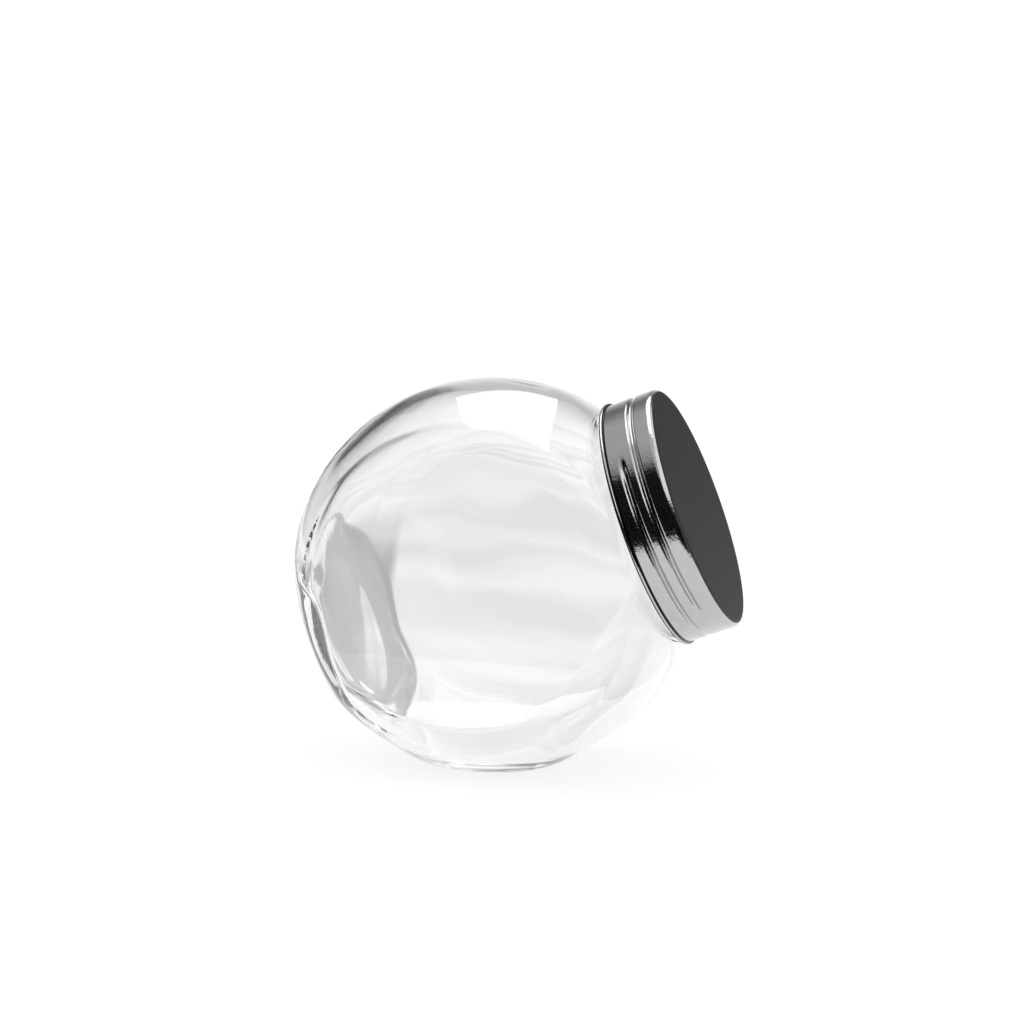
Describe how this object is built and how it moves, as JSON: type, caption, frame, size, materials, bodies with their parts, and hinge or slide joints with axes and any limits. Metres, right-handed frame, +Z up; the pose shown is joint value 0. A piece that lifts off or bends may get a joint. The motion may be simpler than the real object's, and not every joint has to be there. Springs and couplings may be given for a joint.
{
  "type": "round tilted glass jar",
  "caption": "Clear round glass jar that rests tilted on a small foot, with flat front and back discs, a flat upright base and a pressed metal screw lid with liner and seal.",
  "frame": {"origin": "centre of the tilt foot's flat face, on the surface that the jar rests on", "axes": "+Z up; +X towards the side that the mouth leans to; the two flat discs of the bulb face -Y (front) and +Y (back); the mouth's axis lies in the XZ plane, 21.6 degrees above +X"},
  "size_m": [0.1561, 0.091, 0.135],
  "materials": {
    "clear_glass": "clear pressed and blown soda-lime glass, fire-polished",
    "lid_metal": "semi-gloss tinplate with a darker satin top face",
    "liner_board": "matt white foamed liner",
    "seal_compound": "soft pale grey sealing compound"
  },
  "bodies": {
    "jar": {"glass_jar": "clear_glass"},
    "liner": {"lid_liner": "liner_board", "seal_ring": "seal_compound"},
    "lid": {"lid_shell": "lid_metal"}
  },
  "joints": [
    {"name": "lid_lift", "type": "slide", "parent": "jar", "child": "liner", "axis": [0.9298, 0, 0.3681], "range_m": [0, 0.0254]},
    {"name": "lid_turn", "type": "hinge", "parent": "liner", "child": "lid", "pos_m": [0, 0, 0.065], "axis": [0.9298, 0, 0.3681], "range_deg": [0, 1800]}
  ],
  "couplings": [
    {"joint": "lid_lift", "follows": "lid_turn", "m_per_rad": 0.00080851}
  ]
}
